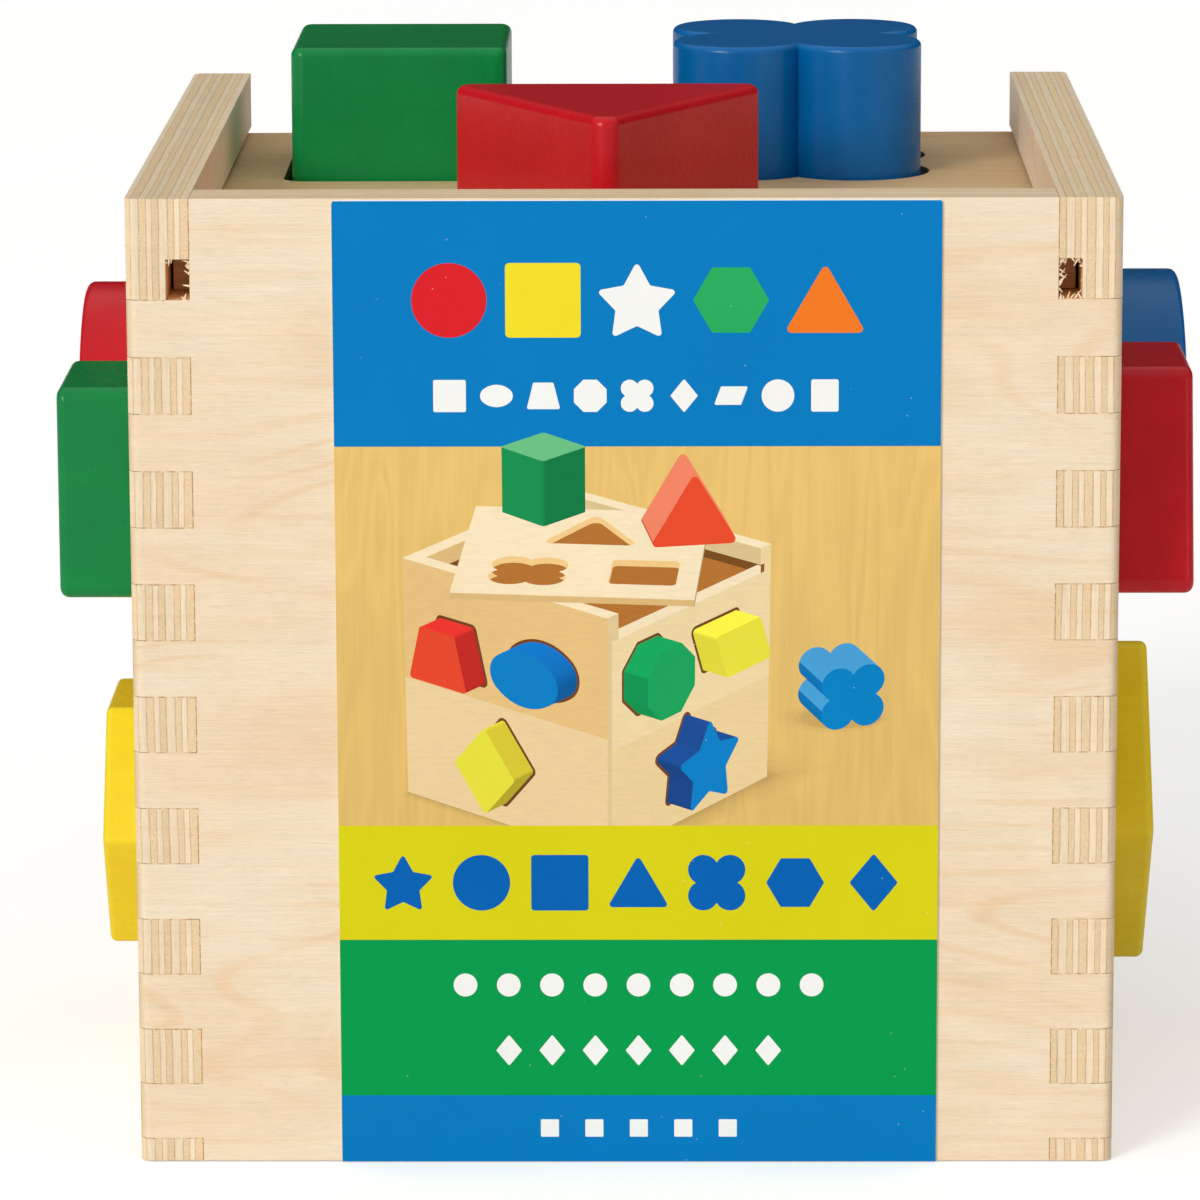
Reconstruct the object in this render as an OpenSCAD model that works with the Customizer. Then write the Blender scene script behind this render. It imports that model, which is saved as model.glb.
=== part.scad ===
// Wooden shape sorter: a finger-jointed plywood box with a sliding lid and
// twelve painted blocks standing part of the way into their own holes.
// The origin is the middle of the box's underside. The labelled front wall
// faces -Y, the low back wall faces +Y, and +Z is up. Millimetres.

/* [Box] */
// Outer width, depth and height of the box
cube_size = 140; // [138:1:142]
// Thickness of the four walls
wall_t = 9; // [8:0.5:9.5]
// Thickness of the floor board
base_t = 5; // [4:0.5:7]
// Rounding of the four upright outer edges
edge_r = 1.6; // [0.5:0.1:2.5]
// Height of one comb finger
finger_h = 8.15; // [8:0.05:8.3]
// Height of the tall top finger that holds the lid groove
top_finger_h = 14.4; // [14.2:0.1:15]
// Play left in every glued finger for the glue line
glue_gap = 0.06; // [0.02:0.01:0.15]

/* [Lid] */
// Thickness of the sliding lid
lid_t = 4.8; // [4:0.1:5.2]
// Depth of the lid groove in each side wall
groove_d = 3.3; // [2.5:0.1:4.5]
// Height of the lid groove
groove_h = 5.9; // [5.7:0.1:6.2]
// Side play of the lid in its grooves
lid_play = 0.4; // [0.2:0.1:0.8]

/* [Blocks] */
// Length of every block along its hole
block_len = 25; // [22:0.5:25]
// Length of the triangle block, which stands a little lower
triangle_len = 22.8; // [20:0.2:25]
// Play all round between a block and its hole
hole_gap = 1.3; // [0.8:0.1:1.6]
// How far the trapezoid stands out of the right wall
trapezoid_out = 12; // [8:0.5:13]
// How far the oval stands out of the right wall
oval_out = 15; // [12:0.5:16]
// How far the rhombus stands out of the right wall
rhombus_out = 9; // [8:0.5:13]
// How far the rectangle stands out of the left wall
rectangle_out = 12; // [8:0.5:13]
// How far the circle stands out of the left wall
circle_out = 14; // [12:0.5:14]
// How far the hexagon stands out of the left wall
hexagon_out = 9; // [8:0.5:13]
// How far the octagon stands out of the back wall
octagon_out = 12; // [11:0.5:13]
// How far the parallelogram stands out of the back wall
parallelogram_out = 12; // [11:0.5:13]
// How far the star stands out of the back wall
star_out = 10; // [8:0.5:13]

/* [Label] */
// Width of the label card on the front wall
label_w = 85.5; // [70:0.5:100]
// Thickness of the label card
label_t = 0.4; // [0.3:0.1:0.8]
// Rounding of the label's top corners
label_r = 0.6; // [0.3:0.1:2]

/* [Hidden] */
$fn = 64;

// Sides of the box along X or Y
minus = -1;
plus = 1;

half = cube_size / 2;
inner = half - wall_t;
fingers = 8;
// how far every cut runs past the face it opens
overcut = 1;

lid_z = cube_size - top_finger_h;
// gaps under the lid, behind the front wall and inside the back face
lid_lift = 0.1;
lid_front_gap = 0.2;
lid_back_gap = 0.3;
groove_floor = lid_z - lid_lift;

label_x = 1.85;
label_top = cube_size - 0.2;

// Plywood face, plywood edge, label and paint colours
ply = [0.93, 0.84, 0.70];
ply_thin = [0.90, 0.80, 0.64];
label_blue = [0.05, 0.50, 0.77];
red = [0.78, 0.09, 0.10];
green = [0.02, 0.50, 0.24];
blue = [0.02, 0.38, 0.68];
yellow = [0.94, 0.85, 0.10];

// Centres of the holes in the lid: [X, Y]
square_at = [-34.9, 32.1];
triangle_at = [-2.8, -22.5];
quatrefoil_at = [26.0, 34.5];
// in the right wall: [Y, Z]
trapezoid_at = [-33, 95.5];
oval_at = [26.5, 98.5];
rhombus_at = [-1.5, 37];
// in the back wall: [X, Z]
octagon_at = [36.5, 97];
parallelogram_at = [-26, 97];
star_at = [3, 36];
// in the left wall: [Y, Z]
rectangle_at = [-37, 94];
circle_at = [25.5, 94];
hexagon_at = [-1, 35.5];

// Block outline sizes; corners run counter-clockwise as [across, up]
square_size = [33, 33];
rectangle_size = [26, 31];
trapezoid_corners = [[-20, -16], [20, -16], [12, 16], [-12, 16]];
rhombus_corners = [[0, -26], [21, 0], [0, 26], [-21, 0]];
parallelogram_corners = [[-24.5, -13.5], [14.5, -13.5], [24.5, 13.5], [-14.5, 13.5]];
// centre to corner
triangle_reach = 28;
star_tip_reach = 28.5;
star_notch_reach = 15;
// centre to flat side
octagon_flat = 20;
hexagon_flat = 18.3;
circle_r = 19;
oval_half_l = 23;
oval_half_h = 16;
oval_end_r = 12;
// each lobe's centre lies this far from the middle both ways
lobe_offset = 8.9;
lobe_r = 10.2;

// Corner roundings
corner_r = 2;
triangle_corner_r = 2.5;
octagon_corner_r = 1;
hexagon_corner_r = 1.2;
// how far a corner arc laps over the straight sides it runs into
lap = 0.002;

// ---- corner geometry ----

function unit(v) = v / norm(v);
// a direction turned a quarter clockwise: outwards from a counter-clockwise side
function outward(v) = [v[1], -v[0]];

// directions from corner i to its two neighbours
function to_previous(points, i) =
    let (count = len(points))
    unit(points[(i + count - 1) % count] - points[i]);
function to_next(points, i) = unit(points[(i + 1) % len(points)] - points[i]);

// positive at a convex corner, negative at a hollow one
function turn(points, i) = cross(to_next(points, i), to_previous(points, i));
function half_angle(points, i) =
    acos(max(-1, min(1, to_previous(points, i) * to_next(points, i)))) / 2;
function arc_centre(points, i, radius) =
    points[i] + unit(to_previous(points, i) + to_next(points, i))
        * radius / sin(half_angle(points, i));

// an outline moved outwards by gap, corner by corner
function grown(points, gap) = [
    for (i = [0:len(points) - 1])
        let (
            side_normal = outward(-to_previous(points, i)),
            corner_normal = unit(side_normal + outward(to_next(points, i)))
        )
        points[i] + corner_normal * gap / (corner_normal * side_normal)
];

// the outline with each corner cut back to its two tangent points
function cut_back(points, radius) = [
    for (i = [0:len(points) - 1])
        for (direction = [to_previous(points, i), to_next(points, i)])
            points[i] + direction * radius / tan(half_angle(points, i))
];

// a polygon with true round corners, convex or hollow
module rounded(points, radius) {
    last = len(points) - 1;
    difference() {
        union() {
            polygon(cut_back(points, radius));
            for (i = [0:last])
                if (turn(points, i) > 0)
                    translate(arc_centre(points, i, radius)) circle(radius + lap);
        }
        for (i = [0:last])
            if (turn(points, i) < 0)
                translate(arc_centre(points, i, radius)) circle(radius + lap);
    }
}

// ---- block outlines; gap is the play added all round ----

module soft(points, radius, gap) { rounded(grown(points, gap), radius + gap); }

function polar(radius, angle) = radius * [cos(angle), sin(angle)];
function ring(count, radius, start) =
    [for (i = [0:count - 1]) polar(radius, start + i * 360 / count)];
function oblong(size) =
    let (x = size[0] / 2, y = size[1] / 2)
    [[-x, -y], [x, -y], [x, y], [-x, y]];

module square_shape(gap = 0) { soft(oblong(square_size), corner_r, gap); }
module rectangle_shape(gap = 0) { soft(oblong(rectangle_size), corner_r, gap); }
// one point towards -Y
module triangle_shape(gap = 0) { soft(ring(3, triangle_reach, -90), triangle_corner_r, gap); }
module trapezoid_shape(gap = 0) { soft(trapezoid_corners, corner_r, gap); }
module rhombus_shape(gap = 0) { soft(rhombus_corners, corner_r, gap); }
module parallelogram_shape(gap = 0) { soft(parallelogram_corners, corner_r, gap); }
module octagon_shape(gap = 0) {
    soft(ring(8, octagon_flat / cos(22.5), 22.5), octagon_corner_r, gap);
}
module hexagon_shape(gap = 0) {
    soft(ring(6, hexagon_flat / cos(30), 0), hexagon_corner_r, gap);
}

// one point straight up
module star_shape(gap = 0) {
    corners = [
        for (i = [0:9]) polar(i % 2 == 0 ? star_tip_reach : star_notch_reach, 90 + i * 36)
    ];
    soft(corners, corner_r, gap);
}

module circle_shape(gap = 0) { circle(circle_r + gap); }

// two end arcs joined by two flatter arcs
module oval_shape(gap = 0) {
    end_x = oval_half_l - oval_end_r;
    end_r = oval_end_r + gap;
    // the flatter arc touches the end arcs and crosses the middle at the half height
    flat_r = (end_x * end_x + oval_half_h * oval_half_h - oval_end_r * oval_end_r)
        / (2 * (oval_half_h - oval_end_r));
    flat_y = flat_r - oval_half_h;
    touch_x = end_x * (flat_r + gap) / (flat_r + gap - end_r);
    union() {
        for (side = [-1, 1])
            translate([side * end_x, 0]) circle(end_r);
        intersection() {
            translate([0, flat_y]) circle(flat_r + gap);
            translate([0, -flat_y]) circle(flat_r + gap);
            square([2 * touch_x, 4 * end_r], center = true);
        }
    }
}

module quatrefoil_shape(gap = 0) {
    union() {
        for (x = [-lobe_offset, lobe_offset], y = [-lobe_offset, lobe_offset])
            translate([x, y]) circle(lobe_r + gap);
        square(2 * lobe_offset, center = true);
    }
}

// ---- placing outlines on the walls and the lid ----

// on a side wall, from near to far out from the middle;
// the outline's x runs along Y and its y runs up
module on_side(side, at, near, far) {
    translate([min(side * near, side * far), at[0], at[1]])
        rotate([90, 0, 90]) linear_extrude(far - near) children();
}
// on the back wall; the outline's x runs along X and its y runs up
module on_back(at, near, far) {
    translate([at[0], far, at[1]]) rotate([90, 0, 0]) linear_extrude(far - near) children();
}
module on_lid(at, bottom, height) {
    translate([at[0], at[1], bottom]) linear_extrude(height) children();
}

module side_hole(side, at) { on_side(side, at, inner - overcut, half + overcut) children(); }
module back_hole(at) { on_back(at, inner - overcut, half + overcut) children(); }
module lid_hole(at) { on_lid(at, lid_z - overcut, lid_t + 2 * overcut) children(); }

module side_block(side, at, out) {
    on_side(side, at, half + out - block_len, half + out) children();
}
module back_block(at, out) { on_back(at, half + out - block_len, half + out) children(); }
module lid_block(at, length = block_len) { on_lid(at, lid_z, length) children(); }

// ---- the box ----

// the box seen from above, with its four upright edges rounded
module footprint() {
    edge = half - edge_r;
    union() {
        square([2 * half, 2 * edge], center = true);
        square([2 * edge, 2 * half], center = true);
        for (x = [-edge, edge], y = [-edge, edge])
            translate([x, y]) circle(edge_r);
    }
}

// the comb fingers of the front and back walls, counted down from the top,
// fill the gaps between the side walls' fingers
function finger_top(i) = lid_z - 2 * i * finger_h;
function finger_low(i) = max(0, finger_top(i) - finger_h);
// lower X or Y limit of the wall on a side
function wall_start(side) = side > 0 ? inner : -half;

module side_wall(side) {
    groove_x = side > 0 ? inner - overcut : -inner - groove_d;
    intersection() {
        linear_extrude(cube_size) footprint();
        difference() {
            translate([wall_start(side), -half, 0]) cube([wall_t, 2 * half, cube_size]);
            // gaps for the other walls' fingers
            for (i = [0:fingers - 1], y = [-half - overcut, inner])
                translate([wall_start(side) - overcut, y, finger_low(i) - glue_gap])
                    cube([
                        wall_t + 2 * overcut,
                        wall_t + overcut,
                        finger_top(i) - finger_low(i) + 2 * glue_gap
                    ]);
            // lid groove, open at both ends
            translate([groove_x, -half - overcut, groove_floor])
                cube([groove_d + overcut, 2 * (half + overcut), groove_h]);
        }
    }
}

// the front or back wall, up to the height top
module cross_wall(side, top) {
    core = inner - glue_gap;
    intersection() {
        linear_extrude(top) footprint();
        union() {
            translate([-core, wall_start(side), 0]) cube([2 * core, wall_t, top]);
            for (i = [0:fingers - 1])
                translate([-half, wall_start(side), finger_low(i)])
                    cube([2 * half, wall_t, min(top, finger_top(i)) - finger_low(i)]);
        }
    }
}

module front_panel() { color(ply) cross_wall(minus, cube_size); }

// ends level with the groove floor so that the lid slides over it
module back_panel() {
    color(ply) difference() {
        cross_wall(plus, groove_floor);
        back_hole(octagon_at) octagon_shape(hole_gap);
        back_hole(parallelogram_at) parallelogram_shape(hole_gap);
        back_hole(star_at) star_shape(hole_gap);
    }
}

module right_panel() {
    color(ply) difference() {
        side_wall(plus);
        side_hole(plus, trapezoid_at) trapezoid_shape(hole_gap);
        side_hole(plus, oval_at) oval_shape(hole_gap);
        side_hole(plus, rhombus_at) rhombus_shape(hole_gap);
    }
}

module left_panel() {
    color(ply) difference() {
        side_wall(minus);
        side_hole(minus, rectangle_at) rectangle_shape(hole_gap);
        side_hole(minus, circle_at) circle_shape(hole_gap);
        side_hole(minus, hexagon_at) hexagon_shape(hole_gap);
    }
}

module base_panel() {
    edge = inner - glue_gap;
    color(ply_thin) translate([-edge, -edge, 0]) cube([2 * edge, 2 * edge, base_t]);
}

// a card with rounded top corners
module front_label() {
    arc_x = label_w / 2 - label_r;
    arc_z = label_top - label_r;
    color(label_blue) translate([label_x, -half, 0])
        rotate([90, 0, 0]) linear_extrude(label_t) union() {
            translate([-label_w / 2, 0]) square([label_w, arc_z]);
            translate([-arc_x, 0]) square([2 * arc_x, label_top]);
            for (side = [-1, 1])
                translate([side * arc_x, arc_z]) circle(label_r);
        }
}

module sliding_lid() {
    half_width = inner + groove_d - lid_play;
    front = -inner + lid_front_gap;
    back = half - lid_back_gap;
    color(ply_thin) difference() {
        translate([-half_width, front, lid_z]) cube([2 * half_width, back - front, lid_t]);
        lid_hole(square_at) square_shape(hole_gap);
        lid_hole(triangle_at) triangle_shape(hole_gap);
        lid_hole(quatrefoil_at) quatrefoil_shape(hole_gap);
    }
}

// ---- the blocks ----

module square_block() { color(green) lid_block(square_at) square_shape(); }
module triangle_block() { color(red) lid_block(triangle_at, triangle_len) triangle_shape(); }
module quatrefoil_block() { color(blue) lid_block(quatrefoil_at) quatrefoil_shape(); }

module trapezoid_block() {
    color(red) side_block(plus, trapezoid_at, trapezoid_out) trapezoid_shape();
}
module oval_block() { color(blue) side_block(plus, oval_at, oval_out) oval_shape(); }
module rhombus_block() { color(yellow) side_block(plus, rhombus_at, rhombus_out) rhombus_shape(); }

module octagon_block() { color(green) back_block(octagon_at, octagon_out) octagon_shape(); }
module parallelogram_block() {
    color(yellow) back_block(parallelogram_at, parallelogram_out) parallelogram_shape();
}
module star_block() { color(blue) back_block(star_at, star_out) star_shape(); }

module rectangle_block() {
    color(green) side_block(minus, rectangle_at, rectangle_out) rectangle_shape();
}
module circle_block() { color(red) side_block(minus, circle_at, circle_out) circle_shape(); }
module hexagon_block() { color(yellow) side_block(minus, hexagon_at, hexagon_out) hexagon_shape(); }

front_panel();
back_panel();
left_panel();
right_panel();
base_panel();
front_label();
sliding_lid();
square_block();
triangle_block();
quatrefoil_block();
trapezoid_block();
oval_block();
rhombus_block();
octagon_block();
parallelogram_block();
star_block();
rectangle_block();
circle_block();
hexagon_block();
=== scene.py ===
# Wooden shape sorter: a comb-jointed plywood box with a sliding lid, twelve painted blocks
# standing out of its top, side and back walls, and a printed card on its front wall.
# It stands on z = 0 and faces -Y; X runs to its right. Pieces are measured in mm.
import bpy, bmesh, math, random
import numpy as np
from mathutils import Vector, Matrix
from mathutils.geometry import delaunay_2d_cdt

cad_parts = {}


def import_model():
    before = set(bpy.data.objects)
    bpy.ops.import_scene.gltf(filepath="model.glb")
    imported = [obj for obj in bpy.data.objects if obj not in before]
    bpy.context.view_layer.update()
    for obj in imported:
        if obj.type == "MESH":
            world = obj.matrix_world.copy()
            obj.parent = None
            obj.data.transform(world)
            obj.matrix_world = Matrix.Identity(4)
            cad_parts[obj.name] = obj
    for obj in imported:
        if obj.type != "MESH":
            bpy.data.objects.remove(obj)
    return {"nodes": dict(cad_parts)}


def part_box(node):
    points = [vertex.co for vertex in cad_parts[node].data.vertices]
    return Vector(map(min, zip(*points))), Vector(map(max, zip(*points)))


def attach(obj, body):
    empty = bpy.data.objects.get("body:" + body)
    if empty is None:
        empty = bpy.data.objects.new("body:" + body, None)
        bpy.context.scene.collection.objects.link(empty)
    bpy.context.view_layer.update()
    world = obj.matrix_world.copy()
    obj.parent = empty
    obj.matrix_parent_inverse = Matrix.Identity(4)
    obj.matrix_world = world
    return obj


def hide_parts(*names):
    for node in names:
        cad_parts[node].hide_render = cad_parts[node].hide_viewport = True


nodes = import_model()["nodes"]
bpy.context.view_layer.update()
scene = bpy.context.scene
MM = 0.001


def corners(node):
    """The low and high corner of a CAD node's box, in mm."""
    lo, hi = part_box(node)
    return lo * 1000, hi * 1000


BASE_LO, BASE_HI = corners("base_panel")
LID_LO, LID_HI = corners("sliding_lid")
BACK_TOP = corners("back_panel")[1].z
WALL = 9.0  # thickness of the four walls


# ------------------------------------------------------------------ node builders
class Nodes:
    """Adds shader nodes to a tree; apart from `put`, the methods give an output socket."""

    def __init__(self, tree):
        self.tree = tree

    def new(self, kind, **props):
        """A node itself, with its properties set."""
        node = self.tree.nodes.new(kind)
        for key, value in props.items():
            setattr(node, key, value)
        return node

    def put(self, socket, value):
        """Link a socket or set a value; None leaves the input alone."""
        if isinstance(value, bpy.types.NodeSocket):
            self.tree.links.new(value, socket)
        elif value is not None:
            if socket.type == "RGBA" and len(value) == 3:
                value = (*value, 1.0)
            socket.default_value = value

    def put_all(self, node, values):
        for socket, value in zip(node.inputs, values):
            self.put(socket, value)

    def math(self, operation, *values):
        node = self.new("ShaderNodeMath", operation=operation)
        self.put_all(node, values)
        return node.outputs[0]

    def add(self, first, second):
        return self.math("ADD", first, second)

    def sub(self, first, second):
        return self.math("SUBTRACT", first, second)

    def mul(self, product, *factors):
        for factor in factors:
            product = self.math("MULTIPLY", product, factor)
        return product

    def absolute(self, value):
        return self.math("ABSOLUTE", value)

    def between(self, value, low, high):
        """1 where low < value < high, else 0."""
        return self.mul(self.math("GREATER_THAN", value, low), self.math("LESS_THAN", value, high))

    def span(self, value, source, to=(0.0, 1.0), smooth=False):
        """value mapped from the range `source` to the range `to`, clamped."""
        node = self.new("ShaderNodeMapRange", clamp=True)
        if smooth:
            node.interpolation_type = "SMOOTHSTEP"
        self.put_all(node, (value, *source, *to))
        return node.outputs[0]

    def xyz(self, vector):
        node = self.new("ShaderNodeSeparateXYZ")
        self.put(node.inputs[0], vector)
        return node.outputs[0], node.outputs[1], node.outputs[2]


class Material(Nodes):
    """A procedural material under construction."""

    def __init__(self, name):
        self.material = bpy.data.materials.new(name)
        self.material.use_nodes = True
        super().__init__(self.material.node_tree)
        self.tree.nodes.clear()
        self.output = self.new("ShaderNodeOutputMaterial")

    def vec(self, *values):
        node = self.new("ShaderNodeCombineXYZ")
        self.put_all(node, values)
        return node.outputs[0]

    def scale(self, vector, factor):
        """A vector or colour times a number."""
        node = self.new("ShaderNodeVectorMath", operation="SCALE")
        self.put(node.inputs[0], vector)
        self.put(node.inputs["Scale"], factor)
        return node.outputs[0]

    def shift(self, vector, offset):
        node = self.new("ShaderNodeVectorMath", operation="ADD")
        self.put_all(node, (vector, offset))
        return node.outputs[0]

    def noise(self, vector, scale=1.0, detail=2.0, rough=0.5, distort=0.0, w=None):
        node = self.new("ShaderNodeTexNoise")
        if w is not None:
            node.noise_dimensions = "4D"
            self.put(node.inputs["W"], w)
        self.put(node.inputs["Vector"], vector)
        self.put(node.inputs["Scale"], scale)
        self.put(node.inputs["Detail"], detail)
        self.put(node.inputs["Roughness"], rough)
        self.put(node.inputs["Distortion"], distort)
        return node.outputs["Fac"]

    def stretched(self, *axes, **look):
        """Noise over three axes, each a plain value or a (value, frequency per mm) pair."""
        values = [self.mul(*axis) if isinstance(axis, tuple) else axis for axis in axes]
        return self.noise(self.vec(*values), **look)

    def white(self, w):
        node = self.new("ShaderNodeTexWhiteNoise", noise_dimensions="1D")
        self.put(node.inputs["W"], w)
        return node.outputs["Value"]

    def voronoi(self, vector, scale):
        node = self.new("ShaderNodeTexVoronoi")
        self.put(node.inputs["Vector"], vector)
        self.put(node.inputs["Scale"], scale)
        return node.outputs["Distance"]

    def mix(self, factor, first, second, mode="MIX"):
        node = self.new("ShaderNodeMix", data_type="RGBA", blend_type=mode)
        for index, value in ((0, factor), (6, first), (7, second)):
            self.put(node.inputs[index], value)
        return node.outputs[2]

    def tint(self, colour, filter_colour):
        return self.mix(1.0, colour, filter_colour, "MULTIPLY")

    def lerp(self, factor, first, second):
        node = self.new("ShaderNodeMix", data_type="FLOAT")
        for index, value in ((0, factor), (2, first), (3, second)):
            self.put(node.inputs[index], value)
        return node.outputs[0]

    def bump(self, height, distance, strength=0.5):
        """A normal raised by `height`; `distance` is in metres."""
        node = self.new("ShaderNodeBump")
        self.put(node.inputs["Strength"], strength)
        self.put(node.inputs["Distance"], distance)
        self.put(node.inputs["Height"], height)
        return node.outputs[0]

    def coords(self):
        """Object position in mm, and the object-space normal."""
        node = self.new("ShaderNodeTexCoord")
        return self.scale(node.outputs["Object"], 1000.0), node.outputs["Normal"]

    def surface(self, colour, rough, normal=None, spec=0.5, coat=0.0, coat_rough=0.1):
        """Finish the material with a principled shader, kept as self.shader."""
        self.shader = self.new("ShaderNodeBsdfPrincipled")
        for name, value in (("Base Color", colour), ("Roughness", rough), ("Normal", normal),
                            ("Specular IOR Level", spec), ("Coat Weight", coat),
                            ("Coat Roughness", coat_rough)):
            self.put(self.shader.inputs[name], value)
        self.tree.links.new(self.shader.outputs[0], self.output.inputs[0])
        return self.material


def lin(*srgb):
    """sRGB 0..255 to linear."""
    return tuple((c / 255 / 12.92) if c <= 10.3 else ((c / 255 + 0.055) / 1.055) ** 2.4
                 for c in srgb)


# ------------------------------------------------------------------ mesh helpers
def add_object(name, bm):
    """Turn a bmesh into a linked object and free it."""
    mesh = bpy.data.meshes.new(name)
    bm.to_mesh(mesh)
    bm.free()
    obj = bpy.data.objects.new(name, mesh)
    scene.collection.objects.link(obj)
    return obj


def skin_rings(bm, rings):
    """Join equal rings of vertices with quads and cap both ends."""
    count = len(rings[0])
    for lower, upper in zip(rings, rings[1:]):
        for i in range(count):
            after = (i + 1) % count
            bm.faces.new((lower[i], lower[after], upper[after], upper[i]))
    bm.faces.new(rings[0][::-1])
    bm.faces.new(rings[-1])


# ------------------------------------------------------------------ plywood
# colours of the plies along and across the cut, and of the glue; strength of the face figure
BIRCH = dict(light=lin(245, 226, 198), dark=lin(235, 206, 163), glue=lin(150, 104, 58),
             figure=0.72)
# thin boards, lid and base: a darker tan, partly the ply's own colour and partly painted shade for
# the lid sunk below the rims
THIN_SHADED = dict(light=lin(222, 192, 146), dark=lin(178, 134, 84), glue=lin(96, 60, 30),
            figure=0.72 * 1.3)
# painted shade: a warm albedo that renders brown in the dim recess of the lid's grooves
GROOVE_SHADE = lin(248, 200, 146)
PLY_TONE = 1.0  # overall brightness of the plywood


def plywood(name, faces, thick_axis, grain_axis, plies, seed, timber, groove_shade):
    """Layered board. `faces` are its good and its other face along thick_axis, grain_axis is the
    face veneer's grain; the last argument is an optional box of warm brown painted shade."""
    mat = Material(name)
    position, normal = mat.coords()
    place, slope = mat.xyz(position), mat.xyz(normal)
    axes = (thick_axis, grain_axis, 3 - thick_axis - grain_axis)
    thick, grain, across = (place[i] for i in axes)
    thick_on, grain_on, across_on = (mat.absolute(slope[i]) for i in axes)
    # each board is cut from another part of the pattern
    grain = mat.add(grain, seed * 37.3)
    across = mat.add(across, seed * 11.9)

    def on_face(grain_rate, across_rate, third, **look):
        return mat.stretched((grain, grain_rate), (across, across_rate), third, **look)

    # how deep into the board, in plies, gently waving as pressed veneers do
    good, other = faces
    depth = mat.mul(mat.sub(thick, good), plies / (other - good))
    wave = on_face(0.045, 0.045, seed)
    inside = mat.mul(mat.span(depth, (0.25, 0.9)), mat.span(depth, (plies - 0.25, plies - 0.9)))
    layer = mat.add(depth, mat.mul(mat.sub(wave, 0.5), 0.55, inside))
    # the plies are not all equally thick
    uneven = mat.math("SINE", mat.add(mat.mul(depth, 1.75), seed * 2.1))
    layer = mat.add(layer, mat.mul(uneven, 0.16, inside))
    kept = mat.math("MINIMUM", mat.math("MAXIMUM", layer, 0.01), plies - 0.01)
    index = mat.math("FLOOR", kept)
    odd = mat.math("MODULO", index, 2.0)
    jitter = mat.white(mat.add(index, seed * 7.7))
    # end grain shows where a ply's grain runs into the surface
    end = mat.span(mat.lerp(odd, grain_on, across_on), (0.35, 0.9))

    # fibres, along each ply's own grain
    along = mat.lerp(odd, grain, across)
    cross = mat.lerp(odd, across, grain)

    def in_ply(along_rate, cross_rate, **look):
        return mat.stretched((along, along_rate), (cross, cross_rate), (thick, cross_rate),
                             **look)

    fibre = in_ply(0.05, 2.6, detail=5.0, rough=0.62)
    fine = in_ply(0.22, 8.0)
    shifted = mat.add(mat.mul(thick, 7.0), 40.0)
    pore = mat.stretched((along, 0.5), (cross, 7.0), shifted, detail=1.0)
    dots = in_ply(0.8, 6.0, rough=0.6)
    # growth figure of the face veneer: long lens-shaped lines and slow tone changes
    field = on_face(0.008, 0.034, seed * 3.1, detail=1.5, rough=0.4, distort=0.35)
    lines = mat.span(mat.math("SINE", mat.mul(field, 105.0)), (0.45, 1.0), smooth=True)
    patchy = on_face(0.03, 0.05, seed + 9.0)
    lines = mat.mul(lines, mat.span(patchy, (0.38, 0.62)))
    mottle = on_face(0.018, 0.06, seed + 4.0, detail=3.0, rough=0.55)
    cloud = on_face(0.10, 0.22, seed + 2.0, detail=3.0, rough=0.6)
    # short warm flecks and long warm streaks of the sanded face
    fleck = in_ply(0.75, 4.6, detail=3.0, rough=0.65)
    streaks = on_face(0.022, 0.55, seed + 6.0, detail=4.0, rough=0.62, distort=0.25)
    face = mat.span(thick_on, (0.6, 0.95))

    base = mat.mix(mat.mul(end, 0.85), timber["light"], timber["dark"])
    # on the cut edges the plies lying along the cut are a little deeper than the sanded face
    edge_on = mat.mul(mat.sub(1.0, face), mat.sub(1.0, end))
    base = mat.mix(edge_on, base, mat.tint(base, (0.94, 0.925, 0.87)))
    base = mat.scale(base, mat.span(jitter, (0.0, 1.0), to=(0.93, 1.03)))
    # the wood is warmer where figure, streaks and flecks show
    warm = mat.tint(base, (0.965, 0.865, 0.75))
    base = mat.mix(mat.mul(lines, face, timber["figure"]), base, warm)
    base = mat.mix(mat.mul(mat.span(streaks, (0.50, 0.72)), 0.55), base, warm)
    base = mat.mix(mat.mul(mat.span(fleck, (0.52, 0.74)), 0.50), base, warm)
    base = mat.scale(base, mat.span(fleck, (0.28, 0.52), to=(1.035, 1.0)))
    mottled = mat.tint(base, (0.975, 0.925, 0.86))
    base = mat.mix(mat.mul(mat.span(mottle, (0.40, 0.62)), face), base, mottled)
    tone = mat.mul(mat.span(fibre, (0.25, 0.75), to=(0.94, 1.04)),
                   mat.span(fine, (0.3, 0.7), to=(0.94, 1.045)),
                   mat.span(pore, (0.62, 0.78), to=(1.0, 0.92)),
                   mat.span(cloud, (0.3, 0.7), to=(0.975, 1.02)),
                   mat.lerp(end, 1.0, mat.span(dots, (0.35, 0.7), to=(1.04, 0.86))),
                   PLY_TONE)
    base = mat.scale(base, tone)
    # brown glue lines between plies, fading in and out
    near = mat.absolute(mat.sub(layer, mat.math("ROUND", layer)))
    within = mat.between(layer, 0.5, plies - 0.5)
    broken = on_face(0.5, 0.5, mat.mul(index, 3.3), detail=3.0, rough=0.6)
    line = mat.mul(mat.span(near, (0.10, 0.03), smooth=True),
                   mat.span(broken, (0.30, 0.62), to=(0.25, 1.0)), within)
    base = mat.mix(mat.mul(line, 0.50), base, timber["glue"])
    if groove_shade:
        # painted shade: the box spans x of either sign, then y and z; inside it the wood turns
        # warm brown for the shaded groove recess, and this fades out backwards
        start = groove_shade[1][0]
        brown = mat.span(place[1], (start + 9.0, start + 20.0), to=(1.0, 0.0), smooth=True)
        for value, limits in zip((mat.absolute(place[0]), place[1], place[2]), groove_shade):
            brown = mat.mul(brown, mat.between(value, *limits))
        base = mat.mix(mat.mul(brown, 0.92), base, mat.scale(GROOVE_SHADE, tone))

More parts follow.
